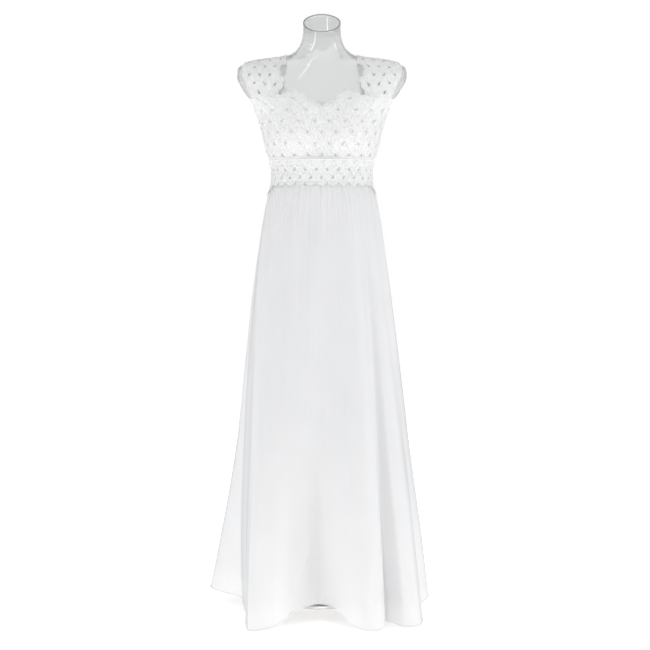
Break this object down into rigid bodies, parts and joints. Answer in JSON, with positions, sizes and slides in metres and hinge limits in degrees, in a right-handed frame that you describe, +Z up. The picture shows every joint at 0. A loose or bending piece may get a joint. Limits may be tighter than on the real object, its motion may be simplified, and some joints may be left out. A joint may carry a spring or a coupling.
{
  "type": "lace wedding dress on a clear dress form",
  "caption": "Floor-length empire-waist lace dress with wide cap straps, worn by a hollow clear limbless form on a pole with a round base.",
  "frame": {"origin": "on the underside of the stand's base, on the floor below the middle of the dress", "axes": "+Z up, -Y towards the front of the dress, +X towards the wearer's left"},
  "size_m": [0.5829, 0.5665, 1.5475],
  "materials": {
    "satin": "white lining satin with a soft sheen",
    "chiffon": "white matt chiffon, slightly sheer",
    "lace": "white corded floral lace with scalloped edges",
    "clear_plastic": "clear glossy plastic shell",
    "brushed_steel": "brushed steel"
  },
  "bodies": {
    "root": {"bodice_front": "satin", "bodice_back_left": "satin", "bodice_back_right": "satin", "back_placket": "satin", "lining_front": "satin", "lining_back_left": "satin", "lining_back_right": "satin", "skirt_front": "chiffon", "skirt_back_left": "chiffon", "skirt_back_right": "chiffon", "lace_front": "lace", "lace_back_left": "lace", "lace_back_right": "lace", "strap_left": "lace", "strap_right": "lace", "lace_band_front": "lace", "lace_band_back_left": "lace", "lace_band_back_right": "lace", "dress_form": "clear_plastic", "base_plate": "brushed_steel", "base_socket": "brushed_steel", "pole": "brushed_steel", "form_flange": "brushed_steel"}
  },
  "joints": []
}
